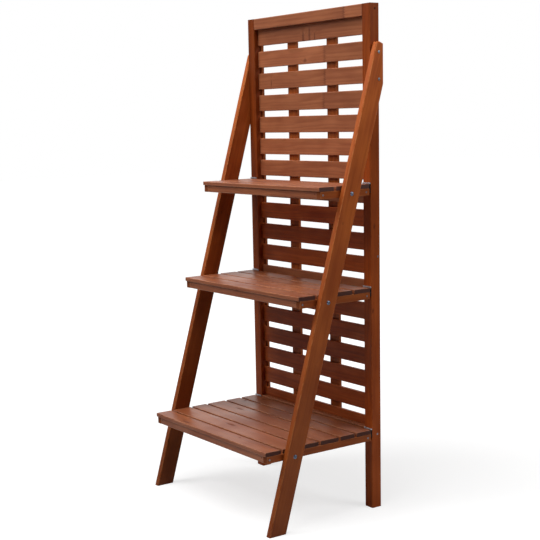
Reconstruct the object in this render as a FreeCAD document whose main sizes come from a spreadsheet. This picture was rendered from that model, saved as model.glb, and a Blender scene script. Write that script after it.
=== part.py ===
import FreeCAD, Part
import math
import os
import re
import Sketcher

# Tiered plant stand, in millimetres. The origin is on the floor, in the middle of the footprint.
# +X points to the right of someone facing the stand, +Y to its back and +Z up.
# Two posts and two rails frame a slatted trellis. Three slatted shelves hang on butt hinges on the
# fronts of the posts, and two leaning legs are screwed to the posts and bolted to the shelves.
# With its two bolts out, a shelf swings up flat against the posts, under the shelf above it.

sizes = {
    "stand_height": 1524,          # floor to the top of the posts
    "stand_width": 610,            # over the outer faces of the posts
    "footprint_depth": 445,        # toe of the legs to the back of the posts
    "post_width": 35,
    "post_depth": 35,
    "rail_height": 35,             # top and lower rails of the back
    "lower_rail_rise": 4,          # top of the lower rail above the bottom shelf
    "board_ease": 1.5,             # flat on the long edges of posts, rails and trellis
    "slat_round": 2,               # rounded long edges of the shelf slats
    # trellis
    "whole_slats": 17,             # slats of full width, from the top rail down
    "trellis_setback": 15,         # face of the slats behind the face of the posts
    "trellis_slat_width": 52,
    "trellis_slat_thick": 9,
    "trellis_last_slat": 30,       # lowest slat, cut down to the lower rail
    "batten_width": 48,
    "batten_thick": 9,
    "batten_spacing": 198,         # between the middles of the two battens
    "cleat_width": 8,              # strips beside the posts, behind the slats
    # legs
    "leg_thick": 19,
    "leg_width": 58,               # square across the board
    "leg_top_drop": 111,           # top of the legs below the top of the posts
    "leg_head_setback": 10.5,      # front of the leg behind the front of the post, at its top
    "leg_head_radius": 8,          # front corner of the head
    "leg_head_cut_run": 13,        # back corner of the head, along the top
    "leg_head_cut_drop": 6,        # back corner of the head, down the back
    "leg_ease": 2,
    "bolt_radius": 3,
    "bolt_head_radius": 6.5,
    "bolt_head_height": 3.6,
    "bolt_tip_gap": 0.4,           # the bolt stops this far inside the leg's inner face
    "bolt_pilot_depth": 14,        # hole for the bolt in the side rail
    "bolt_clearance": 0.15,
    # shelves
    "bottom_shelf_height": 250,    # floor to the top of the slats
    "bottom_shelf_depth": 405,     # face of the posts to the front of the slats
    "middle_shelf_depth": 276,
    "top_shelf_depth": 195,
    "fold_clearance": 1,           # folded shelf under the shelf above
    "shelf_side_clearance": 0.5,
    "shelf_slat_thick": 12,
    "shelf_slat_narrow": 55,
    "shelf_slat_wide": 68,
    "shelf_slat_gap": 8.5,
    "shelf_rail_height": 22,
    "shelf_rail_thick": 18,
    "shelf_overhang": 5,           # slats in front of the front rail
    # hinges
    "hinge_width": 33,
    "hinge_leaf_drop": 28,         # pin to the lower edge of a leaf
    "hinge_leaf_thick": 1.2,
    "hinge_barrel_radius": 2.25,
    "hinge_barrel_clearance": 0.3,  # barrel to the post, and between knuckles
    "hinge_pin_radius": 1.2,
    "hinge_pin_clearance": 0.05,
}

# Places worked out from the sizes, as text that the objects are bound to.
places = {
    "post_back": "(footprint_depth / 2)",
    "post_front": "(post_back - post_depth)",
    "post_outer": "(stand_width / 2)",
    "post_inner": "(post_outer - post_width)",
    "top_rail_bottom": "(stand_height - rail_height)",
    "lower_rail_top": "(bottom_shelf_height + lower_rail_rise)",
    "trellis_opening": "(top_rail_bottom - lower_rail_top)",
    "trellis_pitch": "((trellis_opening - trellis_last_slat) / whole_slats)",
    "trellis_face": "(post_front + trellis_setback)",
    "batten_face": "(trellis_face + trellis_slat_thick)",
    "leg_top": "(stand_height - leg_top_drop)",
    "leg_toe": "(-footprint_depth / 2)",
    "leg_slope": "((post_front + leg_head_setback - leg_toe) / leg_top)",
    "leg_level_width": "(leg_width * sqrt(1 + leg_slope ^ 2))",
    "leg_heel": "(leg_toe + leg_level_width)",
    "shelf_outer": "(stand_width / 2 - shelf_side_clearance)",
    "shelf_build": "(shelf_slat_thick + shelf_rail_height)",
    "bolt_drop": "(shelf_slat_thick + shelf_rail_height / 2)",
    "middle_shelf_height": "(bottom_shelf_height + bottom_shelf_depth + fold_clearance + shelf_build)",
    "top_shelf_height": "(middle_shelf_height + middle_shelf_depth + fold_clearance + shelf_build)",
    "hinge_axis_gap": "(hinge_barrel_radius + hinge_barrel_clearance)",
    "hinge_axis": "(post_front - hinge_axis_gap)",
    "shelf_back": "(hinge_axis - hinge_axis_gap)",
    "knuckle": "(hinge_width / 3)",
}

shelf_names = ("top", "middle", "bottom")
shelf_boards = {
    "top": ("narrow", "wide", "rest"),
    "middle": ("even", "even", "even", "even"),
    "bottom": ("narrow", "wide", "narrow", "wide", "narrow", "rest"),
}
sides = {"left": -1, "right": 1}

doc = FreeCAD.newDocument("PlantStand")
sheet = doc.addObject("Spreadsheet::Sheet", "Dimensions")
for row, (name, number) in enumerate(sizes.items(), start=1):
    sheet.set(f"A{row}", str(number))
    sheet.setAlias(f"A{row}", name)
doc.recompute()

nodes = []


def expand(text):
    """Write a formula out in cells of the sheet."""
    text = str(text)
    while True:
        longer = re.sub(r"[a-z_]+", lambda word: places.get(word.group(), word.group()), text)
        if longer == text:
            break
        text = longer
    return re.sub(r"[a-z_]+", lambda word: f"Dimensions.{word.group()}"
                  if word.group() in sizes else word.group(), text)


def value(text):
    """The number that a formula gives now."""
    result = sheet.evalExpression(expand(text))
    return float(getattr(result, "Value", result))


def bind(thing, name, text):
    thing.setExpression(name, expand(text))


def place(thing, corner):
    for axis, text in zip("xyz", corner):
        bind(thing, f"Placement.Base.{axis}", text)


def new_body(name):
    body = doc.addObject("PartDesign::Body", name)
    body.Label = name
    return body


def new_sketch(body, role, offset="0"):
    """A sketch on one of the body's own origin planes, moved along the plane's normal."""
    plane = next(item for item in body.Origin.OriginFeatures if item.Role == role)
    sketch = body.newObject("Sketcher::SketchObject", f"{body.Name}_sketch")
    sketch.AttachmentSupport = [(plane, "")]
    sketch.MapMode = "FlatFace"
    bind(sketch, "AttachmentOffset.Base.z", offset)
    return sketch


def pin_point(sketch, geometry, point, across, up):
    """Hold a point at its distances from the sketch's origin."""
    for kind, text in (("DistanceX", across), ("DistanceY", up)):
        constraint = Sketcher.Constraint(kind, -1, 1, geometry, point, value(text))
        bind(sketch, f"Constraints[{sketch.addConstraint(constraint)}]", text)


def draw_polygon(sketch, corners):
    points = [FreeCAD.Vector(value(across), value(up), 0) for across, up in corners]
    count = len(points)
    first = sketch.GeometryCount
    for index in range(count):
        sketch.addGeometry(Part.LineSegment(points[index], points[(index + 1) % count]), False)
    for index in range(count):
        following = first + (index + 1) % count
        sketch.addConstraint(Sketcher.Constraint("Coincident", first + index, 2, following, 1))
    for index, (across, up) in enumerate(corners):
        pin_point(sketch, first + index, 1, across, up)


def draw_circle(sketch, centre, radius):
    middle = FreeCAD.Vector(value(centre[0]), value(centre[1]), 0)
    circle = sketch.addGeometry(Part.Circle(middle, FreeCAD.Vector(0, 0, 1), value(radius)), False)
    pin_point(sketch, circle, 3, *centre)
    index = sketch.addConstraint(Sketcher.Constraint("Radius", circle, value(radius)))
    bind(sketch, f"Constraints[{index}]", radius)


def pad(body, sketch, length, backwards=False):
    feature = body.newObject("PartDesign::Pad", f"{body.Name}_pad")
    feature.Profile = sketch
    feature.Reversed = backwards
    bind(feature, "Length", length)
    sketch.Visibility = False
    doc.recompute()
    return feature


def pocket(body, sketch, length, towards_plus):
    """Cut along the sketch's normal, towards its plus or its minus side."""
    before = body.Shape.Volume
    feature = body.newObject("PartDesign::Pocket", f"{body.Name}_pocket")
    feature.Profile = sketch
    feature.Reversed = towards_plus
    bind(feature, "Length", length)
    doc.recompute()
    if body.Shape.Volume > before - 1e-3:
        raise RuntimeError(f"{feature.Name} cuts nothing")
    return feature


def drill(body, holes, radius, depth, start="0", towards_plus=True):
    """Round holes along X, from the plane x = start of the body."""
    sketch = new_sketch(body, "YZ_Plane", start)
    for centre in holes:
        draw_circle(sketch, centre, radius)
    pocket(body, sketch, depth, towards_plus)


def ease(body, kind, amount, wanted):
    """Fillet or chamfer the edges that the test picks."""
    base = body.Tip
    names = [f"Edge{index}" for index, edge in enumerate(base.Shape.Edges, start=1) if wanted(edge)]
    feature = body.newObject(f"PartDesign::{kind}", f"{body.Name}_{kind.lower()}")
    feature.Base = (base, names)
    bind(feature, "Radius" if kind == "Fillet" else "Size", amount)
    doc.recompute()
    return feature


def runs_along(edge, axis):
    """True for a straight edge parallel to the axis, 0 to 2 for X to Z."""
    start = edge.Vertexes[0].Point
    end = edge.Vertexes[-1].Point
    return all(abs(start[index] - end[index]) < 1e-6 for index in range(3) if index != axis)


def board(name, along, section, length, corner, edges=("Chamfer", "board_ease")):
    """A straight board with eased long edges. section gives its other two sizes, in X Y Z order."""
    role, axis, backwards = {"x": ("YZ_Plane", 0, False), "y": ("XZ_Plane", 1, True),
                             "z": ("XY_Plane", 2, False)}[along]
    body = new_body(name)
    sketch = new_sketch(body, role)
    across, up = section
    draw_polygon(sketch, (("0", "0"), (across, "0"), (across, up), ("0", up)))
    pad(body, sketch, length, backwards)
    ease(body, *edges, lambda edge: runs_along(edge, axis))
    place(body, corner)
    nodes.append(body)
    return body


def group(name, members):
    """Several like pieces as one sub-part."""
    compound = doc.addObject("Part::Compound", name)
    compound.Label = name
    compound.Links = members
    nodes.append(compound)
    return compound


def add_bolt(name, corner, side):
    """A domed head outside the leg and a plain shank inwards along X, on the side -1 or 1."""
    body = new_body(name)
    sketch = new_sketch(body, "XY_Plane")
    crown = f"{side} * bolt_head_height"
    tip = f"{-side} * (leg_thick - bolt_tip_gap)"
    outline = ((crown, "0"), (tip, "0"), (tip, "bolt_radius"), ("0", "bolt_radius"), ("0", "bolt_head_radius"))
    points = [FreeCAD.Vector(value(across), value(up), 0) for across, up in outline]
    for start, end in zip(points, points[1:]):
        sketch.addGeometry(Part.LineSegment(start, end), False)
    rise = value("bolt_head_height")
    reach = value("bolt_head_radius")
    ball = (reach ** 2 + rise ** 2) / (2 * rise)
    spread = math.asin(min(reach / ball, 1))
    circle = Part.Circle(FreeCAD.Vector(side * (rise - ball), 0, 0), FreeCAD.Vector(0, 0, 1), ball)
    angles, top, rim = ((0, spread), 1, 2) if side > 0 else ((math.pi - spread, math.pi), 2, 1)
    dome = sketch.addGeometry(Part.ArcOfCircle(circle, *angles), False)
    for index in range(3):
        sketch.addConstraint(Sketcher.Constraint("Coincident", index, 2, index + 1, 1))
    sketch.addConstraint(Sketcher.Constraint("Coincident", 3, 2, dome, rim))
    sketch.addConstraint(Sketcher.Constraint("Coincident", 0, 1, dome, top))
    sketch.addConstraint(Sketcher.Constraint("PointOnObject", dome, 3, -1))
    for index, (across, up) in enumerate(outline[:4]):
        pin_point(sketch, index, 1, across, up)
    pin_point(sketch, 3, 2, *outline[4])
    turn = body.newObject("PartDesign::Revolution", f"{name}_turn")
    turn.Profile = sketch
    turn.ReferenceAxis = (sketch, ["H_Axis"])
    turn.Angle = 360
    doc.recompute()
    place(body, corner)
    return body


# Back: posts, rails and trellis

for side, sign in sides.items():
    board(f"post_{side}", "z", ("post_width", "post_depth"), "stand_height",
          ("post_inner" if sign > 0 else "-post_outer", "post_front", "0"))

for rail, height in (("rail_top", "top_rail_bottom"), ("rail_lower", "lower_rail_top - rail_height")):
    board(rail, "x", ("post_depth", "rail_height"), "2 * post_inner", ("-post_inner", "post_front", height))

whole_slats = int(value("whole_slats"))
for index in range(whole_slats):
    board(f"trellis_slat_{index + 1:02d}", "x", ("trellis_slat_thick", "trellis_slat_width"),
          "2 * post_inner", ("-post_inner", "trellis_face",
                             f"top_rail_bottom - trellis_slat_width - {index} * trellis_pitch"))
board(f"trellis_slat_{whole_slats + 1:02d}", "x", ("trellis_slat_thick", "trellis_last_slat"),
      "2 * post_inner", ("-post_inner", "trellis_face", "lower_rail_top"))

for side, sign in sides.items():
    board(f"trellis_batten_{side}", "z", ("batten_width", "batten_thick"), "trellis_opening",
          (f"{sign} * batten_spacing / 2 - batten_width / 2", "batten_face", "lower_rail_top"))

for side, sign in sides.items():
    board(f"trellis_cleat_{side}", "z", ("cleat_width", "batten_thick"), "trellis_opening",
          ("post_inner - cleat_width" if sign > 0 else "-post_inner", "batten_face", "lower_rail_top"))

# Legs and their bolts

heel_joins_back = "((post_back - leg_heel) / leg_slope)"
bolt_heights = {name: f"({name}_shelf_height - bolt_drop)" for name in shelf_names}
leg_outline = (("leg_toe", "0"), ("leg_heel", "0"), ("post_back", heel_joins_back),
               ("post_back", "leg_top - leg_head_cut_drop"), ("post_back - leg_head_cut_run", "leg_top"),
               ("post_front + leg_head_setback", "leg_top"))


def leg_middle(height):
    """The middle of the leaning board at a height."""
    return f"(leg_toe + leg_slope * {height} + leg_level_width / 2)"


def leg(side, sign):
    body = new_body(f"leg_{side}")
    sketch = new_sketch(body, "YZ_Plane")
    draw_polygon(sketch, leg_outline)
    pad(body, sketch, "leg_thick")
    nose = value("post_front + leg_head_setback")
    top = value("leg_top")
    ease(body, "Fillet", "leg_head_radius", lambda edge: runs_along(edge, 0)
         and abs(edge.Vertexes[0].Y - nose) < 1e-6 and abs(edge.Vertexes[0].Z - top) < 1e-6)
    ease(body, "Chamfer", "leg_ease", lambda edge: not runs_along(edge, 0) and edge.BoundBox.ZMax > 1e-6)
    bolt_holes = [(leg_middle(height), height) for height in bolt_heights.values()]
    drill(body, bolt_holes, "bolt_radius + bolt_clearance", "leg_thick")
    place(body, ("post_outer" if sign > 0 else "-post_outer - leg_thick", "0", "0"))
    nodes.append(body)


bolts = []
for side, sign in sides.items():
    leg(side, sign)
    for name, height in bolt_heights.items():
        bolts.append(add_bolt(f"leg_bolt_{name}_{side}",
                              (f"{sign} * (post_outer + leg_thick)", leg_middle(height), height), sign))
group("leg_bolts", bolts)

# Shelves


def shelf_front(name):
    return f"(post_front - {name}_shelf_depth)"


def shelf_frame(name):
    """Side rails over the full depth, with the front and rear rails between them."""
    depth = f"(shelf_back - {shelf_front(name)} - shelf_overhang)"
    low = f"({name}_shelf_height - shelf_build)"
    for side, sign in sides.items():
        rail = board(f"{name}_shelf_side_rail_{side}", "y", ("shelf_rail_thick", "shelf_rail_height"), depth,
                     ("shelf_outer - shelf_rail_thick" if sign > 0 else "-shelf_outer",
                      f"{shelf_front(name)} + shelf_overhang", low))
        bolt = (f"{leg_middle(bolt_heights[name])} - {shelf_front(name)} - shelf_overhang",
                "shelf_rail_height / 2")
        drill(rail, [bolt], "bolt_radius", "bolt_pilot_depth",
              "shelf_rail_thick" if sign > 0 else "0", sign < 0)
    for rail, near in (("front", f"{shelf_front(name)} + shelf_overhang"),
                       ("rear", "shelf_back - shelf_rail_thick")):
        board(f"{name}_shelf_{rail}_rail", "x", ("shelf_rail_thick", "shelf_rail_height"),
              "2 * (shelf_outer - shelf_rail_thick)",
              ("-(shelf_outer - shelf_rail_thick)", near, low))


def shelf_slats(name):
    """Boards of two stock widths from the front and a last one cut to reach the hinges, or all even."""
    near = shelf_front(name)
    gaps = len(shelf_boards[name]) - 1
    even = f"((shelf_back - {near} - {gaps} * shelf_slat_gap) / {gaps + 1})"
    for number, width in enumerate(shelf_boards[name], start=1):
        rest = f"(shelf_back - {near})"
        wide = {"even": even, "rest": rest}.get(width, f"shelf_slat_{width}")
        board(f"{name}_shelf_slat_{number}", "x", (wide, "shelf_slat_thick"), "2 * shelf_outer",
              ("-shelf_outer", near, f"{name}_shelf_height - shelf_slat_thick"), ("Fillet", "slat_round"))
        near = f"({near} + {wide} + shelf_slat_gap)"


# Hinges. A leaf lies flat on the post and the other on the back of the shelf, the pin above and between
# them. Its body's origin is the left end of the pin.


def leaf_plate(body, back, front):
    """A plate hanging from the height of the pin, between two distances behind it."""
    sketch = new_sketch(body, "YZ_Plane")
    draw_polygon(sketch, ((back, "-hinge_leaf_drop"), (front, "-hinge_leaf_drop"), (front, "0"), (back, "0")))
    pad(body, sketch, "hinge_width")


def cut_round_knuckle(body, start, end):
    """Clear the plate and barrel for the other leaf's knuckle, between two places along the pin."""
    sketch = new_sketch(body, "YZ_Plane", start)
    reach = "2 * hinge_axis_gap"
    low = "-hinge_axis_gap"
    draw_polygon(sketch, ((f"-{reach}", low), (reach, low), (reach, reach), (f"-{reach}", reach)))
    pocket(body, sketch, f"({end}) - ({start})", True)


def barrel(body, start, length, radius):
    sketch = new_sketch(body, "YZ_Plane", start)
    draw_circle(sketch, ("0", "0"), radius)
    pad(body, sketch, length)


def post_leaf(name, corner):
    """Plate on the post with the two outer knuckles, and the pin that is fixed in them."""
    body = new_body(name)
    leaf_plate(body, "hinge_axis_gap - hinge_leaf_thick", "hinge_axis_gap")
    barrel(body, "0", "hinge_width", "hinge_barrel_radius")
    cut_round_knuckle(body, "knuckle - hinge_barrel_clearance / 2", "2 * knuckle + hinge_barrel_clearance / 2")
    barrel(body, "0", "hinge_width", "hinge_pin_radius")
    place(body, corner)
    return body


def shelf_leaf(name, corner):
    """Plate on the back of the shelf with the middle knuckle, bored to turn on the pin."""
    body = new_body(name)
    leaf_plate(body, "-hinge_axis_gap", "hinge_leaf_thick - hinge_axis_gap")
    cut_round_knuckle(body, "0", "knuckle + hinge_barrel_clearance / 2")
    cut_round_knuckle(body, "2 * knuckle - hinge_barrel_clearance / 2", "hinge_width")
    barrel(body, "knuckle + hinge_barrel_clearance / 2", "knuckle - hinge_barrel_clearance",
           "hinge_barrel_radius")
    drill(body, [("0", "0")], "hinge_pin_radius + hinge_pin_clearance", "hinge_width")
    place(body, corner)
    return body


def shelf_hinges(name):
    leaves = {"post": [], "shelf": []}
    for side, sign in sides.items():
        pin_end = (f"{sign} * (post_outer - post_width / 2) - hinge_width / 2", "hinge_axis",
                   f"{name}_shelf_height + hinge_barrel_radius")
        leaves["post"].append(post_leaf(f"{name}_hinge_post_leaf_{side}", pin_end))
        leaves["shelf"].append(shelf_leaf(f"{name}_hinge_shelf_leaf_{side}", pin_end))
    group(f"{name}_hinge_post_leaves", leaves["post"])
    group(f"{name}_hinge_shelf_leaves", leaves["shelf"])


for name in shelf_names:
    shelf_frame(name)
    shelf_slats(name)
    shelf_hinges(name)

doc.recompute()
for item in doc.Objects:
    if "Invalid" in item.State or "Error" in item.State:
        raise RuntimeError(f"{item.Label} failed: {item.State}")
os.makedirs("parts", exist_ok=True)
for item in nodes:
    if item.Shape.isNull() or not item.Shape.isValid():
        raise RuntimeError(f"{item.Label} has no sound shape")
for item in nodes:
    item.Shape.exportStep(f"parts/{item.Label}.step")
print(len(nodes), "sub-parts")
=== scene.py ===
import math

import bmesh
import bpy
from mathutils import Matrix, Vector


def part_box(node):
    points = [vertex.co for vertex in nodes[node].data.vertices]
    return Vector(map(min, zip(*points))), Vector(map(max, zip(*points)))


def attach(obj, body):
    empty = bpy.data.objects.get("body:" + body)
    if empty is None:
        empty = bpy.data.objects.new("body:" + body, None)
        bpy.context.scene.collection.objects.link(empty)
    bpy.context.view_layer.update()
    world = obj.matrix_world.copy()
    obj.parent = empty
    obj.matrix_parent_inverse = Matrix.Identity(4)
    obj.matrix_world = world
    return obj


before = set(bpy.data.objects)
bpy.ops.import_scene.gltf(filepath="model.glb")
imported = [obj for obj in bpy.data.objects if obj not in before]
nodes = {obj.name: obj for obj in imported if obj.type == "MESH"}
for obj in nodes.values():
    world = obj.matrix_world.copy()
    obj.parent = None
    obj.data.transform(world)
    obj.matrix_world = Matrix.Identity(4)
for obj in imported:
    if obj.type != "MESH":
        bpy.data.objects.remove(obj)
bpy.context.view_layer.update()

print("frame loaded:", len(nodes), "nodes")


# camera, floor and light

cameraView = {
    "place": (2.96628, -2.13950, 1.21017),
    "heading": 0.9899,   # turned left from the stand's back
    "tilt": 0.1629,
    "roll": 0.0286,
    "lens": 78.531,
    "sensor": 36,
    "reach": 100,
    "shift": (0.10989, 0.07537),
}

studio = {
    "floorSize": 40,
    "floorShade": 0.42,
    "floorGlow": 0.71,            # near the stand, where its shadow shows
    "floorFade": (0.7, 2.6),      # over these distances its glow grows to full white
    "floorMirrored": 0.15,        # how much of that glow gloss shows
    "worldFill": 0.05,
    "roomShade": 0.06,            # what gloss shows of the room, away from the white backdrop
    "backdropWay": (-0.83, 0.55, 0.1),
    "backdropFade": (0.42, 0.8),  # how squarely a mirrored ray must meet the backdrop to show it
}

lamps = {   # place, size and power, set against the photo's shades; all aim at the middle of the stand
    "ceiling": ((0.2, -1.0, 4.6), 2.4, 124),
    "key": ((-1.4, -2.8, 3.9), 2.4, 92),
    "side": ((2.3, 1.4, 2.7), 1.6, 36),
}
lampAim = (0, 0, 0.7)


def addCamera():
    data = bpy.data.cameras.new("camera")
    data.lens = cameraView["lens"]
    data.sensor_width = cameraView["sensor"]
    data.shift_x, data.shift_y = cameraView["shift"]
    data.clip_end = cameraView["reach"]
    camera = bpy.data.objects.new("camera", data)
    bpy.context.scene.collection.objects.link(camera)
    camera.matrix_world = (Matrix.Translation(cameraView["place"])
                           @ Matrix.Rotation(cameraView["heading"], 4, "Z")
                           @ Matrix.Rotation(math.pi / 2 - cameraView["tilt"], 4, "X")
                           @ Matrix.Rotation(-cameraView["roll"], 4, "Z"))
    bpy.context.scene.camera = camera


def newNode(tree, kind, **inputs):
    node = tree.nodes.new(kind)
    for name, given in inputs.items():
        node.inputs[name.replace("_", " ")].default_value = given
    return node


def addFloor():
    bm = bmesh.new()
    bmesh.ops.create_grid(bm, x_segments=1, y_segments=1, size=studio["floorSize"] / 2)
    mesh = bpy.data.meshes.new("floor")
    bm.to_mesh(mesh)
    bm.free()
    floor = bpy.data.objects.new("floor", mesh)
    bpy.context.scene.collection.objects.link(floor)
    material = bpy.data.materials.new("floor")
    material.use_nodes = True
    tree = material.node_tree
    tree.nodes.clear()
    shade = studio["floorShade"]
    diffuse = newNode(tree, "ShaderNodeBsdfDiffuse", Color=(shade, shade, shade, 1))
    glow = newNode(tree, "ShaderNodeEmission", Color=(1, 1, 1, 1))
    path = tree.nodes.new("ShaderNodeLightPath")
    seen = tree.nodes.new("ShaderNodeMath")
    seen.operation = "MAXIMUM"
    place = tree.nodes.new("ShaderNodeTexCoord")
    away = tree.nodes.new("ShaderNodeVectorMath")
    away.operation = "LENGTH"
    fade = tree.nodes.new("ShaderNodeMapRange")
    fade.interpolation_type = "SMOOTHSTEP"
    near, far = studio["floorFade"]
    for index, given in enumerate((near, far, studio["floorGlow"], 1.0), start=1):
        fade.inputs[index].default_value = given
    strength = tree.nodes.new("ShaderNodeMath")
    strength.operation = "MULTIPLY"
    both = tree.nodes.new("ShaderNodeAddShader")
    out = tree.nodes.new("ShaderNodeOutputMaterial")
    tree.links.new(place.outputs["Object"], away.inputs[0])
    tree.links.new(away.outputs["Value"], fade.inputs[0])
    tree.links.new(path.outputs["Is Camera Ray"], seen.inputs[0])
    mirrored = tree.nodes.new("ShaderNodeMath")
    mirrored.operation = "MULTIPLY"
    mirrored.inputs[1].default_value = studio["floorMirrored"]
    tree.links.new(path.outputs["Is Glossy Ray"], mirrored.inputs[0])
    tree.links.new(mirrored.outputs[0], seen.inputs[1])
    tree.links.new(seen.outputs[0], strength.inputs[0])
    tree.links.new(fade.outputs[0], strength.inputs[1])
    tree.links.new(strength.outputs[0], glow.inputs["Strength"])
    tree.links.new(diffuse.outputs[0], both.inputs[0])
    tree.links.new(glow.outputs[0], both.inputs[1])
    tree.links.new(both.outputs[0], out.inputs["Surface"])
    mesh.materials.append(material)


def addWorld():   # white backdrop behind the stand, a dim room in front, and a little even fill
    world = bpy.data.worlds.new("studio")
    world.use_nodes = True
    bpy.context.scene.world = world
    tree = world.node_tree
    tree.nodes.clear()
    fill = newNode(tree, "ShaderNodeBackground", Color=(1, 1, 1, 1), Strength=studio["worldFill"])
    white = newNode(tree, "ShaderNodeBackground", Color=(1, 1, 1, 1), Strength=1.0)
    mirrored = newNode(tree, "ShaderNodeBackground", Color=(1, 1, 1, 1))
    way = tree.nodes.new("ShaderNodeTexCoord")
    toward = tree.nodes.new("ShaderNodeVectorMath")
    toward.operation = "DOT_PRODUCT"
    toward.inputs[1].default_value = studio["backdropWay"]
    fade = tree.nodes.new("ShaderNodeMapRange")
    fade.interpolation_type = "SMOOTHSTEP"
    near, far = studio["backdropFade"]
    for index, given in enumerate((near, far, studio["roomShade"], 1.0), start=1):
        fade.inputs[index].default_value = given
    path = tree.nodes.new("ShaderNodeLightPath")
    seen = tree.nodes.new("ShaderNodeMath")
    seen.operation = "MAXIMUM"
    glossy = tree.nodes.new("ShaderNodeMixShader")
    mix = tree.nodes.new("ShaderNodeMixShader")
    out = tree.nodes.new("ShaderNodeOutputWorld")
    tree.links.new(way.outputs["Generated"], toward.inputs[0])
    tree.links.new(toward.outputs["Value"], fade.inputs[0])
    tree.links.new(fade.outputs[0], mirrored.inputs["Strength"])
    tree.links.new(path.outputs["Is Glossy Ray"], glossy.inputs[0])
    tree.links.new(fill.outputs[0], glossy.inputs[1])
    tree.links.new(mirrored.outputs[0], glossy.inputs[2])
    tree.links.new(path.outputs["Is Camera Ray"], seen.inputs[0])
    tree.links.new(path.outputs["Is Transmission Ray"], seen.inputs[1])
    tree.links.new(seen.outputs[0], mix.inputs[0])
    tree.links.new(glossy.outputs[0], mix.inputs[1])
    tree.links.new(white.outputs[0], mix.inputs[2])
    tree.links.new(mix.outputs[0], out.inputs["Surface"])


def addLamp(name, place, size, power):
    data = bpy.data.lights.new(name, "AREA")
    data.shape = "DISK"
    data.size = size
    data.energy = power
    lamp = bpy.data.objects.new(name, data)
    bpy.context.scene.collection.objects.link(lamp)
    lamp.location = place
    lamp.rotation_euler = (Vector(lampAim) - Vector(place)).to_track_quat("-Z", "Y").to_euler()


addCamera()
addFloor()
addWorld()
for name, (place, size, power) in lamps.items():
    addLamp(name, place, size, power)
scene = bpy.context.scene
scene.view_settings.view_transform = "Standard"
print("camera, floor and light set")


# shader groups that the wood and the steel share

def toLinear(red, green, blue):
    def channel(byte):
        share = byte / 255
        return share / 12.92 if share <= 0.04045 else ((share + 0.055) / 1.055) ** 2.4
    return (channel(red), channel(green), channel(blue), 1)


class Sheet:   # short ways to write a node tree
    def __init__(self, tree):
        self.tree = tree

    def put(self, socket, given):
        if isinstance(given, bpy.types.NodeSocket):
            self.tree.links.new(given, socket)
        elif given is not None:
            socket.default_value = given

    def math(self, operation, first, second=None, third=None, clamp=False):
        node = self.tree.nodes.new("ShaderNodeMath")
        node.operation = operation
        node.use_clamp = clamp
        for index, given in enumerate((first, second, third)):
            self.put(node.inputs[index], given)
        return node.outputs[0]

    def vector(self, operation, first, second=None):
        node = self.tree.nodes.new("ShaderNodeVectorMath")
        node.operation = operation
        self.put(node.inputs[0], first)
        self.put(node.inputs[1], second)
        return node.outputs["Value" if operation in ("LENGTH", "DOT_PRODUCT") else "Vector"]

    def split(self, vector):
        node = self.tree.nodes.new("ShaderNodeSeparateXYZ")
        self.put(node.inputs[0], vector)
        return node.outputs

    def join(self, x, y, z):
        node = self.tree.nodes.new("ShaderNodeCombineXYZ")
        for index, given in enumerate((x, y, z)):
            self.put(node.inputs[index], given)
        return node.outputs[0]

    def noise(self, vector, scale=1, detail=2, roughness=0.5):
        node = self.tree.nodes.new("ShaderNodeTexNoise")
        self.put(node.inputs["Vector"], vector)
        node.inputs["Scale"].default_value = scale
        node.inputs["Detail"].default_value = detail
        node.inputs["Roughness"].default_value = roughness
        return node

    def fade(self, value, low, high, start=0, end=1):
        node = self.tree.nodes.new("ShaderNodeMapRange")
        node.interpolation_type = "SMOOTHSTEP"
        for index, given in enumerate((value, low, high, start, end)):
            self.put(node.inputs[index], given)
        return node.outputs[0]

    def group(self, made, **inputs):
        node = self.tree.nodes.new("ShaderNodeGroup")
        node.node_tree = made
        for name, given in inputs.items():
            self.put(node.inputs[name], given)
        return node

    def mix(self, factor, first, second, kind="MIX"):
        node = self.tree.nodes.new("ShaderNodeMix")
        node.data_type = "RGBA"
        node.blend_type = kind
        for index, given in ((0, factor), (6, first), (7, second)):
            self.put(node.inputs[index], given)
        return node.outputs[2]


woodLook = {
    "ring": 0.0052,         # width of a growth ring
    "ringDepth": 0.2,
    "ringBend": 0.011,      # how far a knot pushes the rings aside
    "knotDepth": 0.55,
    "rimDepth": 0.42,
    "joinDepth": 0.55,      # how dark the glue line of a finger joint is
    "tooth": 0.0035,        # half of a finger joint's pitch
    "toothSlope": 2.2,
    "roughness": 0.44,
    "bump": 0.0003,
}


def newGroup(name, inputs, outputs):
    group = bpy.data.node_groups.new(name, "ShaderNodeTree")
    for socket, (kind, given) in inputs.items():
        made = group.interface.new_socket(socket, in_out="INPUT", socket_type=f"NodeSocket{kind}")
        made.default_value = given
    for socket, kind in outputs.items():
        group.interface.new_socket(socket, in_out="OUTPUT", socket_type=f"NodeSocket{kind}")
    start = group.nodes.new("NodeGroupInput")
    end = group.nodes.new("NodeGroupOutput")
    return group, Sheet(group), start.outputs, end.inputs


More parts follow.
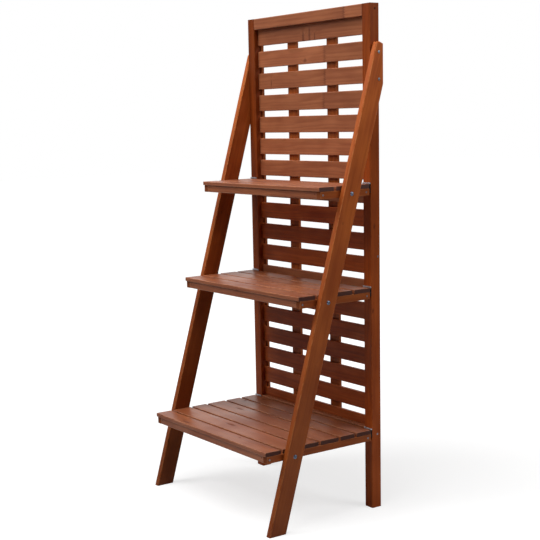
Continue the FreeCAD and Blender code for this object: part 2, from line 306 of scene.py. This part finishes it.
def knotGroup():   # a knot, as a core, its dark rim and the bend it gives to the rings
    inputs = {"Vector": ("Vector", (0, 0, 0)), "Centre": ("Vector", (9, 9, 9)), "Radius": ("Float", 0.006),
              "Stretch": ("Vector", (0.62, 1, 0.35))}
    outputs = {"Core": "Float", "Rim": "Float", "Bend": "Float"}
    group, sheet, given, result = newGroup("knot", inputs, outputs)
    away = sheet.vector("MULTIPLY", sheet.vector("SUBTRACT", given["Vector"], given["Centre"]), given["Stretch"])
    ragged = sheet.noise(given["Vector"], 160, 2).outputs["Fac"]
    reach = sheet.math("DIVIDE", sheet.vector("LENGTH", away), given["Radius"])
    reach = sheet.math("ADD", reach, sheet.math("MULTIPLY_ADD", ragged, 0.7, -0.35))
    sheet.put(result["Core"], sheet.fade(reach, 0.5, 1.15, 1, 0))
    rim = sheet.math("MULTIPLY", sheet.fade(reach, 0.55, 1.0), sheet.fade(reach, 1.0, 1.7, 1, 0))
    sheet.put(result["Rim"], rim)
    sheet.put(result["Bend"], sheet.fade(reach, 0.2, 4.2, 1, 0))
    return group


def grainGroup():   # growth rings, streaks and fibres of a board that runs along X
    inputs = {"Vector": ("Vector", (0, 0, 0)), "Pith": ("Vector", (0, 0.02, 0.05)), "Bend": ("Float", 0),
              "Ring": ("Float", 0.0045), "Wander": ("Float", 0.02)}
    outputs = {"Rings": "Float", "Streaks": "Float", "Fibres": "Float", "Clouds": "Float"}
    group, sheet, given, result = newGroup("grain", inputs, outputs)
    slow = sheet.noise(sheet.vector("MULTIPLY", given["Vector"], (2.6, 5, 5)), 1, 2).outputs["Color"]
    drift = sheet.split(sheet.vector("SUBTRACT", slow, (0.5, 0.5, 0.5)))
    place = sheet.split(sheet.vector("ADD", given["Vector"], given["Pith"]))
    across = sheet.math("MULTIPLY_ADD", drift[1], given["Wander"], place[1])
    across = sheet.math("MULTIPLY_ADD", given["Bend"], woodLook["ringBend"], across)
    through = sheet.math("MULTIPLY_ADD", drift[2], given["Wander"], place[2])
    distance = sheet.vector("LENGTH", sheet.join(0, across, through))
    turns = sheet.math("DIVIDE", distance, given["Ring"])
    rough = sheet.noise(sheet.vector("MULTIPLY", given["Vector"], (14, 160, 160)), 1, 2).outputs["Fac"]
    turns = sheet.math("MULTIPLY_ADD", rough, 0.45, turns)
    share = sheet.math("FRACT", turns)
    late = sheet.math("MULTIPLY", sheet.fade(share, 0.3, 0.86), sheet.fade(share, 0.9, 1.0, 1, 0))
    sheet.put(result["Rings"], late)
    streaks = sheet.noise(sheet.vector("MULTIPLY", given["Vector"], (4, 120, 120)), 1, 3, 0.6).outputs["Fac"]
    sheet.put(result["Streaks"], streaks)
    fibres = sheet.noise(sheet.vector("MULTIPLY", given["Vector"], (34, 1300, 1300)), 1, 3, 0.65).outputs["Fac"]
    sheet.put(result["Fibres"], fibres)
    clouds = sheet.noise(sheet.vector("MULTIPLY", given["Vector"], (7, 14, 14)), 1, 2).outputs["Fac"]
    sheet.put(result["Clouds"], clouds)
    return group


def edgeMaskGroup():   # how near a board's edges and ends a point is
    inputs = {"Vector": ("Vector", (0, 0, 0)), "Half": ("Vector", (0.3, 0.03, 0.01))}
    outputs = {"Edge": "Float", "End": "Float"}
    group, sheet, given, result = newGroup("edgeMasks", inputs, outputs)
    inside = sheet.vector("SUBTRACT", given["Half"], sheet.vector("ABSOLUTE", given["Vector"]))
    x, y, z = sheet.split(inside)
    low = sheet.math("MINIMUM", y, z)
    high = sheet.math("MAXIMUM", y, z)
    middle = sheet.math("MAXIMUM", low, sheet.math("MINIMUM", high, x))
    patchy = sheet.noise(given["Vector"], 55, 3).outputs["Fac"]
    edge = sheet.fade(middle, 0.0012, 0.0032, 1, 0)
    sheet.put(result["Edge"], sheet.math("MULTIPLY", edge, sheet.fade(patchy, 0.32, 0.62)))
    sheet.put(result["End"], sheet.fade(x, 0.0002, 0.0007, 1, 0))
    return group


def stainGroup(knot, grain, edgeMasks):   # the finished colour of a stained board
    inputs = {
        "Vector": ("Vector", (0, 0, 0)), "Half": ("Vector", (0.3, 0.03, 0.01)), "Seed": ("Vector", (0, 0, 0)),
        "Pith": ("Vector", (0, 0.02, 0.05)), "Ring": ("Float", 0.0045), "Ring Depth": ("Float", 0.2),
        "Tone": ("Float", 1), "End Depth": ("Float", 0.9),
        "Pale": ("Color", (1, 1, 1, 1)), "Deep": ("Color", (1, 1, 1, 1)), "Dark": ("Color", (1, 1, 1, 1)),
        "Soaked": ("Color", (1, 1, 1, 1)), "Join": ("Float", 9), "Join Tone": ("Float", 1), "Lift": ("Float", 0),
        "Rubsheen": ("Color", (1, 1, 1, 1)), "Rubsheen Depth": ("Float", 0.45),
    }
    for letter in "ABC":
        inputs[f"Knot {letter}"] = ("Vector", (9, 9, 9))
        inputs[f"Knot {letter} Radius"] = ("Float", 0.006)
        inputs[f"Knot {letter} Stretch"] = ("Vector", (0.62, 1, 0.35))
    outputs = {"Color": "Color", "Roughness": "Float", "Height": "Float"}
    group, sheet, given, result = newGroup("stain", inputs, outputs)

    core, rim, bend = 0.0, 0.0, 0.0
    for letter in "ABC":
        node = sheet.group(knot, Vector=given["Vector"], Centre=given[f"Knot {letter}"],
                           Radius=given[f"Knot {letter} Radius"], Stretch=given[f"Knot {letter} Stretch"])
        core = sheet.math("MAXIMUM", core, node.outputs["Core"])
        rim = sheet.math("MAXIMUM", rim, node.outputs["Rim"])
        bend = sheet.math("ADD", bend, node.outputs["Bend"])

    # a finger joint: teeth across the board, and other timber past them
    x, y, z = sheet.split(given["Vector"])
    teeth = sheet.math("PINGPONG", y, woodLook["tooth"])
    past = sheet.math("SUBTRACT", sheet.math("MULTIPLY_ADD", teeth, woodLook["toothSlope"], x), given["Join"])
    far = sheet.fade(past, -0.0006, 0.0006)
    jump = sheet.join(sheet.math("MULTIPLY", far, 3.7), sheet.math("MULTIPLY", far, 0.013), 0)
    stained = sheet.math("MULTIPLY", sheet.fade(past, -0.016, 0), sheet.math("SUBTRACT", 1, far))

    seeded = sheet.vector("ADD", given["Vector"], given["Seed"])
    timber = sheet.group(grain, Vector=sheet.vector("ADD", seeded, jump), Bend=bend, Ring=given["Ring"],
                         Pith=sheet.vector("SUBTRACT", given["Pith"], given["Seed"]))
    rings, streaks, fibres, clouds = (timber.outputs[name] for name in ("Rings", "Streaks", "Fibres", "Clouds"))
    edges = sheet.group(edgeMasks, Vector=given["Vector"], Half=given["Half"])

    soak = sheet.math("MULTIPLY", sheet.fade(clouds, 0.32, 0.7), 0.55)
    soak = sheet.math("MULTIPLY_ADD", sheet.fade(streaks, 0.34, 0.7), 0.4, soak)
    soak = sheet.math("MULTIPLY_ADD", sheet.math("SUBTRACT", fibres, 0.5), 0.7, soak, clamp=True)
    color = sheet.mix(soak, given["Pale"], given["Deep"])
    color = sheet.mix(sheet.math("MULTIPLY", rings, given["Ring Depth"]), color, given["Dark"])
    # edges are paled, partly from rubbing and partly as a painted highlight
    color = sheet.mix(sheet.math("MULTIPLY", edges.outputs["Edge"], given["Rubsheen Depth"]), color, given["Rubsheen"])
    color = sheet.mix(sheet.math("MULTIPLY", core, woodLook["knotDepth"]), color, given["Dark"])
    color = sheet.mix(sheet.math("MULTIPLY", rim, woodLook["rimDepth"]), color, given["Soaked"])
    color = sheet.mix(sheet.math("MULTIPLY", stained, woodLook["joinDepth"]), color, given["Dark"])
    color = sheet.mix(sheet.math("MULTIPLY", edges.outputs["End"], given["End Depth"]), color, given["Soaked"])
    other = sheet.math("MULTIPLY_ADD", far, sheet.math("SUBTRACT", given["Join Tone"], 1), 1)
    tone = sheet.math("MULTIPLY", given["Tone"], other)
    # lift changes the tone along a board; on the posts and legs it is painted light and shade
    tone = sheet.math("MULTIPLY", tone, sheet.math("MULTIPLY_ADD", given["Lift"], x, 1))
    color = sheet.mix(1, color, sheet.join(tone, tone, tone), "MULTIPLY")
    sheet.put(result["Color"], color)

    rough = sheet.math("MULTIPLY_ADD", rings, -0.08, woodLook["roughness"])
    rough = sheet.math("MULTIPLY_ADD", sheet.math("SUBTRACT", clouds, 0.5), 0.3, rough)
    rough = sheet.math("MULTIPLY_ADD", edges.outputs["End"], 0.3, rough)
    rough = sheet.math("MULTIPLY_ADD", core, 0.3, rough)
    sheet.put(result["Roughness"], rough)
    height = sheet.math("MULTIPLY_ADD", rings, 0.4, sheet.math("MULTIPLY", fibres, 0.6))
    height = sheet.math("MULTIPLY_ADD", rim, -0.6, height)
    sheet.put(result["Height"], height)
    return group


def scuffGroup():   # fine scratches and dulled patches on plated steel, and painted shade on the outer ends of hinge leaves
    inputs = {"Vector": ("Vector", (0, 0, 0)), "Bright": ("Color", (1, 1, 1, 1)), "Dull": ("Color", (1, 1, 1, 1)),
              "Sheared": ("Color", (1, 1, 1, 1)), "Ends": ("Float", 9), "Under": ("Float", 0),
              "Polish": ("Float", 0.25)}
    outputs = {"Color": "Color", "Roughness": "Float", "Height": "Float"}
    group, sheet, given, result = newGroup("scuff", inputs, outputs)
    patches = sheet.noise(given["Vector"], 180, 4).outputs["Fac"]
    lines = sheet.noise(sheet.vector("MULTIPLY", given["Vector"], (300, 2600, 2600)), 1, 2).outputs["Fac"]
    x, y, z = sheet.split(given["Vector"])
    # painted shade: a leaf's outer end, below its barrel, is darkened
    past = sheet.math("SUBTRACT", sheet.math("ABSOLUTE", x), given["Ends"])
    ends = sheet.math("MULTIPLY", sheet.fade(past, -0.0004, -0.0002),
                      sheet.fade(sheet.math("SUBTRACT", z, given["Under"]), 0, 0.0006, 1, 0))
    color = sheet.mix(sheet.fade(patches, 0.4, 0.72), given["Bright"], given["Dull"])
    sheet.put(result["Color"], sheet.mix(ends, color, given["Sheared"]))
    rough = sheet.math("MULTIPLY_ADD", sheet.fade(patches, 0.35, 0.75), 0.22, given["Polish"])
    sheet.put(result["Roughness"], sheet.math("MULTIPLY_ADD", lines, 0.12, rough))
    sheet.put(result["Height"], lines)
    return group


stain = stainGroup(knotGroup(), grainGroup(), edgeMaskGroup())
scuff = scuffGroup()
print("shader groups built")


# wood

grainTurns = {   # a board's own axes: X along the grain, Y across its face, Z through it
    "x": Matrix.Identity(3),
    "xUp": Matrix(((1, 0, 0), (0, 0, -1), (0, 1, 0))),
    "z": Matrix(((0, 1, 0), (0, 0, 1), (1, 0, 0))),
    "y": Matrix(((0, 0, 1), (1, 0, 0), (0, 1, 0))),
}


def principled(name):
    material = bpy.data.materials.new(name)
    material.use_nodes = True
    shader = material.node_tree.nodes["Principled BSDF"]
    return material, material.node_tree, shader


def seedOf(name):   # a steady number from 0 to 1 for each board
    total = 7
    for letter in name:
        total = (total * 31 + ord(letter)) % 9973
    return total / 9973


stains = {   # colours of each group of boards, set against the photo; some may make up for its light
    "frame": {"pale": (174, 82, 30), "deep": (138, 58, 17), "dark": (86, 35, 12), "soaked": (54, 20, 10),
              "rubsheen": (186, 98, 46)},
    # the legs' pale edge colour is mostly a painted highlight along their front edges
    "leg": {"pale": (166, 86, 36), "deep": (136, 62, 23), "dark": (92, 40, 16), "soaked": (54, 20, 10),
            "rubsheen": (184, 114, 68)},
    "panel": {"pale": (174, 106, 70), "deep": (144, 79, 49), "dark": (92, 42, 24), "soaked": (52, 19, 12),
              "rubsheen": (180, 114, 78)},
    # a deeper red copy of the panel stain: painted shade for the slats beneath the shelves
    "shadedPanel": {"pale": (180, 91, 44), "deep": (143, 60, 24), "dark": (88, 33, 13), "soaked": (50, 17, 10),
               "rubsheen": (186, 100, 52)},
    "board": {"pale": (168, 98, 60), "deep": (136, 69, 38), "dark": (92, 34, 16), "soaked": (60, 20, 12),
              "rubsheen": (192, 128, 90)},
}
# how far edges are paled, partly from rubbing and partly as a painted highlight
rubsheenDepths = {"frame": 0.45, "leg": 0.6, "panel": 0.45, "shadedPanel": 0.4, "board": 0.55}
glosses = {"frame": 0.16, "leg": 0.2, "panel": 0.3, "shadedPanel": 0.2, "board": 0.45}
shadedPanelBoards = ("09", "10", "11", "13", "14", "15", "16", "17", "18")   # the lower trellis slats but the twelfth, painted a deeper red as shade

knotKinds = {   # a number under 1 draws a knot out along the board, across it or through it
    "round": (0.62, 1, 0.35),
    "flame": (1.5, 0.34, 0.35),
    "long": (0.3, 1.1, 0.35),
    "side": (0.55, 0.35, 1),
}


# rings and end are depths, and lift is how much the tone grows over each metre of the board
def woodMaterial(name, centre, half, turn, tone=1.0, knots=(), join=None, joinTone=1.0, rings=1.0, end=0.9,
                 timber="frame", lift=0.0, gloss=None):
    material, tree, shader = principled(f"wood_{name}")
    place = tree.nodes.new("ShaderNodeTexCoord")
    mapping = tree.nodes.new("ShaderNodeMapping")
    mapping.vector_type = "TEXTURE"
    mapping.inputs["Location"].default_value = centre
    mapping.inputs["Rotation"].default_value = turn.to_euler()
    tree.links.new(place.outputs["Object"], mapping.inputs["Vector"])
    group = Sheet(tree).group(stain)
    seed = seedOf(name)
    spin = seed * 37 % 1
    values = {
        "Half": half,
        "Seed": (11 * seed, 5 * spin, 3 * seed),
        "Pith": (0, 0.05 * (spin - 0.5), -0.025 - 0.045 * seed),
        "Ring": woodLook["ring"] * (0.8 + 0.5 * spin),
        "Ring Depth": woodLook["ringDepth"] * rings,
        "Tone": tone * (0.95 + 0.1 * (seed * 53 % 1)),
        "End Depth": end,
        "Join": 9 if join is None else join,
        "Join Tone": joinTone,
        "Lift": lift,
        "Rubsheen Depth": rubsheenDepths[timber],
    }
    for shade, color in stains[timber].items():
        values[shade.title()] = toLinear(*color)
    for letter, (along, across, radius, kind, *through) in zip("ABC", knots):
        values[f"Knot {letter}"] = (along, across, through[0] if through else half[2])
        values[f"Knot {letter} Radius"] = radius
        values[f"Knot {letter} Stretch"] = knotKinds[kind]
    for socket, given in values.items():
        group.inputs[socket].default_value = given
    tree.links.new(mapping.outputs["Vector"], group.inputs["Vector"])
    tree.links.new(group.outputs["Color"], shader.inputs["Base Color"])
    tree.links.new(group.outputs["Roughness"], shader.inputs["Roughness"])
    shader.inputs["Specular IOR Level"].default_value = glosses[timber] if gloss is None else gloss
    bump = newNode(tree, "ShaderNodeBump", Strength=0.6, Distance=woodLook["bump"])
    tree.links.new(group.outputs["Height"], bump.inputs["Height"])
    tree.links.new(bump.outputs["Normal"], shader.inputs["Normal"])
    return material


def dress(name, material):
    piece = nodes[name]
    piece.data.materials.clear()
    piece.data.materials.append(material)


def boardMaterial(name, along, **look):   # for a straight board, measured from its node
    low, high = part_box(name)
    turn = grainTurns[along]
    half = turn.transposed() @ ((high - low) / 2)
    half = Vector(abs(given) for given in half)
    dress(name, woodMaterial(name, (low + high) / 2, half, turn, **look))


boardLooks = {   # knots are (along, across, radius, kind) from the board's middle, on its face or at a fifth number
    "rail_top": {"join": 0.195, "joinTone": 1.12},
    "trellis_slat_01": {"knots": ((-0.028, -0.022, 0.007, "flame"), (0.004, -0.01, 0.006, "flame"),
                                  (0.03, -0.02, 0.004, "flame"))},
    "trellis_slat_02": {"knots": ((-0.02, -0.016, 0.004, "round"),), "join": 0.085, "joinTone": 0.86},
    "trellis_slat_03": {"knots": ((-0.2, -0.008, 0.0032, "flame"),), "join": 0.085, "joinTone": 1.04},
    "trellis_slat_04": {"join": 0.078, "joinTone": 0.94},
    "bottom_shelf_slat_1": {"knots": ((-0.143, -0.014, 0.005, "long"), (0.12, 0.012, 0.003, "round"))},
    "bottom_shelf_slat_2": {"knots": ((-0.026, 0.01, 0.0065, "long"),)},
    "bottom_shelf_slat_4": {"knots": ((-0.173, 0.007, 0.006, "long"), (0.14, -0.014, 0.003, "round"))},
    "bottom_shelf_slat_5": {"knots": ((-0.255, 0.017, 0.0045, "round"),)},
    "bottom_shelf_slat_6": {"knots": ((-0.228, 0.011, 0.0045, "round"),)},
    "middle_shelf_slat_1": {"knots": ((-0.21, 0.022, 0.005, "round"), (0.297, -0.02, 0.006, "round"))},
    "middle_shelf_slat_2": {"knots": ((-0.238, -0.024, 0.006, "round"),)},
    # the posts' lifts are painted shade and light: darker toward their tops, lighter toward their feet
    "post_right": {"knots": ((0.112, 0.0175, 0.0034, "side", -0.005), (-0.143, 0.0175, 0.003, "side", -0.012)),
                   "lift": -0.3},
    "post_left": {"lift": -0.4},
}

boardTones = {   # 1 where a board is not named; set against the photo, as the stains are
    "post_left": 0.8, "post_right": 0.95,
    "trellis_batten_left": 1.2, "trellis_batten_right": 1.0,
    "trellis_slat_02": 1.14, "trellis_slat_05": 1.06, "trellis_slat_06": 1.14,
    # the ninth slat's tone of 1.4 is painted light, brightening it in the top shelf's shade
    "trellis_slat_09": 1.4, "trellis_slat_10": 1.05, "trellis_slat_12": 1.08,
    "top_shelf_slat_1": 1.05, "middle_shelf_slat_2": 1.05,
    "bottom_shelf_slat_3": 0.92, "bottom_shelf_slat_5": 0.95,
}
topShelfGloss = 0.62
slatRings = 1.6
railEnd = 0.35

for name, tone in boardTones.items():
    boardLooks.setdefault(name, {})["tone"] = tone
for number in (1, 2, 3):
    boardLooks.setdefault(f"top_shelf_slat_{number}", {})["gloss"] = topShelfGloss

for name in nodes:
    look = boardLooks.get(name, {})
    if "hinge" in name or name == "leg_bolts" or name.startswith("leg_"):
        continue
    if name.startswith("post"):
        boardMaterial(name, "z", **look)
    elif name.startswith(("trellis_batten", "trellis_cleat")):
        boardMaterial(name, "z", timber="leg", **look)
    elif "side_rail" in name:
        boardMaterial(name, "y", end=railEnd, timber="leg", **look)
    elif name.startswith(("trellis", "rail")):
        boardMaterial(name, "xUp", timber="shadedPanel" if name.endswith(shadedPanelBoards) else "panel", **look)
    elif "rail" in name:
        boardMaterial(name, "xUp", timber="board", **look)
    else:
        boardMaterial(name, "x", timber="board", rings=slatRings, **look)


legBoard = {
    "slope": 0.2976,        # run of its lean over its rise
    "width": 0.058,
    "halfLength": 0.9,
    "halfThick": 0.0095,
    "middle": 0.7,          # up the leg from its foot, where its grain is centred
    "tones": {"leg_left": 1.0, "leg_right": 1.15},
    # painted light and shade: each leg lighter toward its head and darker toward its foot
    "lift": 0.45,
    "rings": 0.6,
    "knots": ((-0.18, 0.006, 0.0045, "round"), (0.23, -0.01, 0.005, "round")),
}


def legMaterial(name):   # its grain follows the lean
    low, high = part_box(name)
    lean = math.atan(legBoard["slope"])
    width = legBoard["width"]
    foot = Vector(((low.x + high.x) / 2, low.y + width / 2 / math.cos(lean), 0))
    up = Vector((0, math.sin(lean), math.cos(lean)))
    face = Vector((0, math.cos(lean), -math.sin(lean)))
    side = up.cross(face)
    turn = Matrix((up, face, side)).transposed()
    half = (legBoard["halfLength"], width / 2, legBoard["halfThick"])
    dress(name, woodMaterial(name, foot + up * legBoard["middle"], half, turn, tone=legBoard["tones"][name],
                             lift=legBoard["lift"], knots=legBoard["knots"], rings=legBoard["rings"], timber="leg"))


for name in legBoard["tones"]:
    legMaterial(name)
print("wood dressed")


# plated steel

steelLooks = {
    "hinge": {"bright": (226, 226, 232), "dull": (172, 172, 180), "polish": 0.2},
    "bolt": {"bright": (138, 150, 172), "dull": (84, 92, 108), "polish": 0.22},
    "screw": {"bright": (158, 164, 174), "dull": (98, 102, 110), "polish": 0.25},
    "dark": {"bright": (44, 34, 31), "dull": (22, 15, 14), "polish": 0.45},
}
paintedLeafShade = (46, 34, 32)
# below the barrel a leaf's outer end is painted dark, as shade
barrelHeight = 0.0052


def steelMaterial(name, suffix="", ends=9, under=0):   # painted shade lies past ends and below under
    look = steelLooks[name]
    material, tree, shader = principled(f"steel_{name}{suffix}")
    place = tree.nodes.new("ShaderNodeTexCoord")
    group = Sheet(tree).group(scuff, Vector=place.outputs["Object"], Bright=toLinear(*look["bright"]),
                              Dull=toLinear(*look["dull"]), Polish=look["polish"],
                              Sheared=toLinear(*paintedLeafShade), Ends=ends, Under=under)
    tree.links.new(group.outputs["Color"], shader.inputs["Base Color"])
    tree.links.new(group.outputs["Roughness"], shader.inputs["Roughness"])
    shader.inputs["Metallic"].default_value = 1
    bump = newNode(tree, "ShaderNodeBump", Strength=0.3, Distance=0.00005)
    tree.links.new(group.outputs["Height"], bump.inputs["Height"])
    tree.links.new(bump.outputs["Normal"], shader.inputs["Normal"])
    return material


steels = {name: steelMaterial(name) for name in steelLooks}
for name in nodes:
    if "hinge" in name:
        low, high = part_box(name)
        dress(name, steelMaterial("hinge", "_" + name, high.x, high.z - barrelHeight))
dress("leg_bolts", steels["bolt"])
print("metal dressed")


# small fasteners

headArcSteps = 5
headSides = 20

screwSizes = {   # radius, rise over the wood, depth of the cross and width of its slots, in metres
    "pan": {"radius": 0.0044, "rise": 0.0019, "cross": 0.0013, "slot": 0.0009},
    "flush": {"radius": 0.0031, "rise": 0.00022, "cross": 0.0009, "slot": 0.0007},
    "hinge": {"radius": 0.0028, "rise": 0.0003, "cross": 0.0005, "slot": 0.0006},
    "nail": {"radius": 0.0014, "rise": 0.00015, "cross": 0, "slot": 0},
}


def headMesh(name):   # a screw head that faces +Z and stands on the plane z = 0
    size = screwSizes[name]
    bm = bmesh.new()
    radius, rise = size["radius"], size["rise"]
    turns = [math.pi / 2 * step / headArcSteps for step in range(headArcSteps + 1)]
    arc = [bm.verts.new((radius * math.sin(turn), 0, rise * (0.35 + 0.65 * math.cos(turn)))) for turn in turns]
    arc.append(bm.verts.new((radius * 0.98, 0, -0.0006)))
    arc.append(bm.verts.new((0, 0, -0.002)))
    edges = [bm.edges.new(pair) for pair in zip(arc, arc[1:])]
    bmesh.ops.spin(bm, geom=arc + edges, cent=(0, 0, 0), axis=(0, 0, 1), dvec=(0, 0, 0), angle=2 * math.pi,
                   steps=headSides, use_merge=True, use_duplicate=False)
    bmesh.ops.remove_doubles(bm, verts=bm.verts, dist=1e-7)
    bmesh.ops.recalc_face_normals(bm, faces=bm.faces)
    head = bpy.data.meshes.new(f"head_{name}")
    bm.to_mesh(head)
    bm.free()
    if size["cross"]:
        head = cutCross(head, size)
    for face in head.polygons:
        face.use_smooth = True
    return head


def cutCross(head, size):
    cutter = bmesh.new()
    for turn in (0, math.pi / 2):
        made = bmesh.ops.create_cube(cutter, size=1, matrix=Matrix.Rotation(turn, 4, "Z") @ Matrix.Diagonal(
            (size["radius"] * 1.15, size["slot"], size["cross"] * 2, 1)))
        bmesh.ops.translate(cutter, verts=made["verts"], vec=(0, 0, size["rise"]))
    tool = bpy.data.meshes.new("cross")
    cutter.to_mesh(tool)
    cutter.free()
    solid = bpy.data.objects.new("headSolid", head)
    blade = bpy.data.objects.new("headBlade", tool)
    for item in (solid, blade):
        scene.collection.objects.link(item)
    boolean = solid.modifiers.new("cross", "BOOLEAN")
    boolean.operation = "DIFFERENCE"
    boolean.use_self = True
    boolean.object = blade
    bpy.context.view_layer.update()
    cut = bpy.data.meshes.new_from_object(solid.evaluated_get(bpy.context.evaluated_depsgraph_get()))
    for item in (solid, blade):
        bpy.data.objects.remove(item)
    return cut


heads = {name: headMesh(name) for name in screwSizes}


def addHeads(name, head, places, body, steel):   # places are (point, way the head faces)
    bm = bmesh.new()
    for index, (point, way) in enumerate(places):
        before = len(bm.verts)
        bm.from_mesh(heads[head])
        bm.verts.ensure_lookup_table()
        turn = Vector(way).to_track_quat("Z", "Y").to_matrix().to_4x4()
        spin = Matrix.Rotation(0.7 + 1.9 * index, 4, "Z")
        bmesh.ops.transform(bm, matrix=Matrix.Translation(point) @ turn @ spin, verts=bm.verts[before:])
    mesh = bpy.data.meshes.new(name)
    bm.to_mesh(mesh)
    bm.free()
    mesh.materials.clear()
    mesh.materials.append(steels[steel])
    for face in mesh.polygons:
        face.material_index = 0
    piece = bpy.data.objects.new(name, mesh)
    scene.collection.objects.link(piece)
    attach(piece, body)
    return piece


standFixings = {
    "legScrewBack": 0.0175,        # behind the front of the posts
    "legScrewHeights": (1.383, 1.3056),
    "postScrews": ((0.026, 0.783), (0.021, 0.234)),   # behind the front of the posts, and height
    "postPlugs": ((0.019, 1.508),),
    "nailShift": 0.012,            # of the two nails of a slat, either side of a batten's middle
    "nailStagger": 0.6,
}

postLow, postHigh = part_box("post_right")
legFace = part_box("leg_right")[1].x
legPlaces = []
postPlaces = {"postScrews": [], "postPlugs": []}
for side in (-1, 1):
    for height in standFixings["legScrewHeights"]:
        legPlaces.append(((side * legFace, postLow.y + standFixings["legScrewBack"], height), (side, 0, 0)))
    for kind, places in postPlaces.items():
        for back, height in standFixings[kind]:
            places.append(((side * postHigh.x, postLow.y + back, height), (side, 0, 0)))
addHeads("legScrews", "pan", legPlaces, "stand", "screw")
addHeads("postScrews", "flush", postPlaces["postScrews"], "stand", "screw")
addHeads("postPlugs", "flush", postPlaces["postPlugs"], "stand", "dark")

backPlaces = []
for name in nodes:
    if name.startswith("trellis_slat"):
        low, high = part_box(name)
        middle = (low.z + high.z) / 2
        for batten in ("trellis_batten_left", "trellis_batten_right"):
            battenLow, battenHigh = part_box(batten)
            centre = (battenLow.x + battenHigh.x) / 2
            for shift in (-standFixings["nailShift"], standFixings["nailShift"]):
                rise = shift * standFixings["nailStagger"]
                backPlaces.append(((centre + shift, battenHigh.y, middle + rise), (0, 1, 0)))
        for cleat in ("trellis_cleat_left", "trellis_cleat_right"):
            cleatLow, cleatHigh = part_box(cleat)
            backPlaces.append((((cleatLow.x + cleatHigh.x) / 2, cleatHigh.y, middle), (0, 1, 0)))
addHeads("backNails", "nail", backPlaces, "stand", "dark")

shelfFixings = {
    "fromFront": 0.0095,
    "fromBack": 0.012,
    "frontNail": 0.009,         # from the front rail's end
    "frontNailRise": 0.003,
    "hingeInset": 0.0175,       # a hinge's middle from the post's outer face
    "hingeScrewShift": 0.009,
    "hingeScrewRise": 0.011,
    "leafThick": 0.0012,
}

for shelf in ("top", "middle", "bottom"):
    body = f"{shelf}_shelf"
    places = []
    nails = []
    for side, railName in ((-1, "left"), (1, "right")):
        low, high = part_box(f"{shelf}_shelf_side_rail_{railName}")
        face = high.x if side > 0 else low.x
        middle = (low.z + high.z) / 2
        for back in (low.y + shelfFixings["fromFront"], high.y - shelfFixings["fromBack"]):
            places.append(((face, back, middle), (side, 0, 0)))
        for name in nodes:
            if name.startswith(f"{shelf}_shelf_slat"):
                slatLow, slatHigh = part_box(name)
                under = ((low.x + high.x) / 2, (slatLow.y + slatHigh.y) / 2, low.z)
                places.append((under, (0, 0, -1)))
        frontLow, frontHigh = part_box(f"{shelf}_shelf_front_rail")
        nails.append(((side * (frontHigh.x - shelfFixings["frontNail"]), frontLow.y,
                       middle + shelfFixings["frontNailRise"]), (0, -1, 0)))
    addHeads(f"{shelf}ShelfScrews", "flush", places, body, "screw")
    addHeads(f"{shelf}ShelfNails", "nail", nails, body, "dark")
    shelfPlaces = []
    standPlaces = []
    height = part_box(f"{shelf}_hinge_shelf_leaves")[0].z + shelfFixings["hingeScrewRise"]
    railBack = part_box(f"{shelf}_shelf_rear_rail")[1].y
    for side in (-1, 1):
        for shift in (-shelfFixings["hingeScrewShift"], shelfFixings["hingeScrewShift"]):
            across = side * (postHigh.x - shelfFixings["hingeInset"]) + shift
            shelfPlaces.append(((across, railBack + shelfFixings["leafThick"], height), (0, 1, 0)))
            standPlaces.append(((across, postLow.y - shelfFixings["leafThick"], height), (0, -1, 0)))
    addHeads(f"{shelf}HingeShelfScrews", "hinge", shelfPlaces, body, "screw")
    addHeads(f"{shelf}HingePostScrews", "hinge", standPlaces, "stand", "screw")
print("fasteners added")


# the end

print("scene built")
